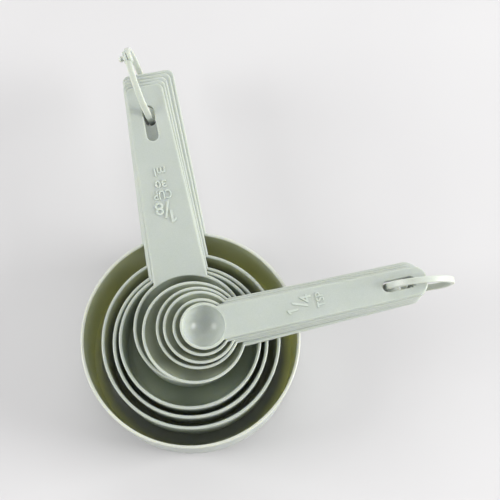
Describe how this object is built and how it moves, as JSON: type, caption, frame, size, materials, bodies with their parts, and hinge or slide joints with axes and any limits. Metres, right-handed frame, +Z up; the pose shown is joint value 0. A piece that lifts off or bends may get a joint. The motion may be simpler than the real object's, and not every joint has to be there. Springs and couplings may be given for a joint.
{
  "type": "nesting measuring cup and spoon set",
  "caption": "Nested measuring cups with flat slotted handles strung on a snap ring, and a matching nested set of measuring spoons on its own ring resting in the smallest cup.",
  "frame": {"origin": "centre of the largest cup's base, on the table", "axes": "+Z up, +Y along the largest cup's handle, the spoon handles point to +X"},
  "size_m": [0.1633, 0.1831, 0.0738],
  "materials": {
    "set_plastic": "moulded polypropylene, pale sage green, semi-gloss",
    "ring_plastic": "moulded polypropylene, pale sage green, slightly translucent"
  },
  "bodies": {
    "one_cup": {"one_cup": "set_plastic"},
    "half_cup": {"half_cup": "set_plastic"},
    "third_cup": {"third_cup": "set_plastic"},
    "quarter_cup": {"quarter_cup": "set_plastic"},
    "eighth_cup": {"eighth_cup": "set_plastic"},
    "tablespoon": {"tablespoon": "set_plastic"},
    "half_tablespoon": {"half_tablespoon": "set_plastic"},
    "teaspoon": {"teaspoon": "set_plastic"},
    "half_teaspoon": {"half_teaspoon": "set_plastic"},
    "quarter_teaspoon": {"quarter_teaspoon": "set_plastic"},
    "cup_ring": {"cup_ring": "ring_plastic"},
    "spoon_ring": {"spoon_ring": "ring_plastic"}
  },
  "joints": [
    {"name": "half_cup_lift", "type": "hinge", "parent": "one_cup", "child": "half_cup", "pos_m": [-0.00463, 0.12223, 0.04322], "axis": [-0.9796, -0.1482, -0.1357], "range_deg": [0, 9]},
    {"name": "third_cup_lift", "type": "hinge", "parent": "half_cup", "child": "third_cup", "pos_m": [-0.00424, 0.11966, 0.04322], "axis": [-0.9796, -0.1482, -0.1357], "range_deg": [0, 9]},
    {"name": "quarter_cup_lift", "type": "hinge", "parent": "third_cup", "child": "quarter_cup", "pos_m": [-0.00387, 0.11719, 0.04322], "axis": [-0.9796, -0.1482, -0.1357], "range_deg": [0, 9]},
    {"name": "eighth_cup_lift", "type": "hinge", "parent": "quarter_cup", "child": "eighth_cup", "pos_m": [-0.00375, 0.1164, 0.04322], "axis": [-0.9796, -0.1482, -0.1357], "range_deg": [0, 9]},
    {"name": "cup_ring_turn", "type": "hinge", "parent": "one_cup", "child": "cup_ring", "pos_m": [-0.00375, 0.1164, 0.04322], "axis": [0.9781, 0.1409, 0.153], "range_deg": [-188, 30]},
    {"name": "spoon_set_lift", "type": "slide", "parent": "eighth_cup", "child": "tablespoon", "axis": [0, 0, 1], "range_m": [0, 0.05]},
    {"name": "half_tablespoon_lift", "type": "hinge", "parent": "tablespoon", "child": "half_tablespoon", "pos_m": [0.10338, 0.00293, 0.0581], "axis": [0.0591, 0.9973, 0.0441], "range_deg": [0, 12]},
    {"name": "teaspoon_lift", "type": "hinge", "parent": "half_tablespoon", "child": "teaspoon", "pos_m": [0.10338, 0.00293, 0.0581], "axis": [0.0591, 0.9973, 0.0441], "range_deg": [0, 12]},
    {"name": "half_teaspoon_lift", "type": "hinge", "parent": "teaspoon", "child": "half_teaspoon", "pos_m": [0.10338, 0.00293, 0.0581], "axis": [0.0591, 0.9973, 0.0441], "range_deg": [0, 12]},
    {"name": "quarter_teaspoon_lift", "type": "hinge", "parent": "half_teaspoon", "child": "quarter_teaspoon", "pos_m": [0.10338, 0.00293, 0.0581], "axis": [0.0591, 0.9973, 0.0441], "range_deg": [0, 12]},
    {"name": "spoon_ring_turn", "type": "hinge", "parent": "tablespoon", "child": "spoon_ring", "pos_m": [0.09989, 0.00305, 0.05834], "axis": [-0.0614, -0.995, -0.0788], "range_deg": [-40, 150]}
  ]
}
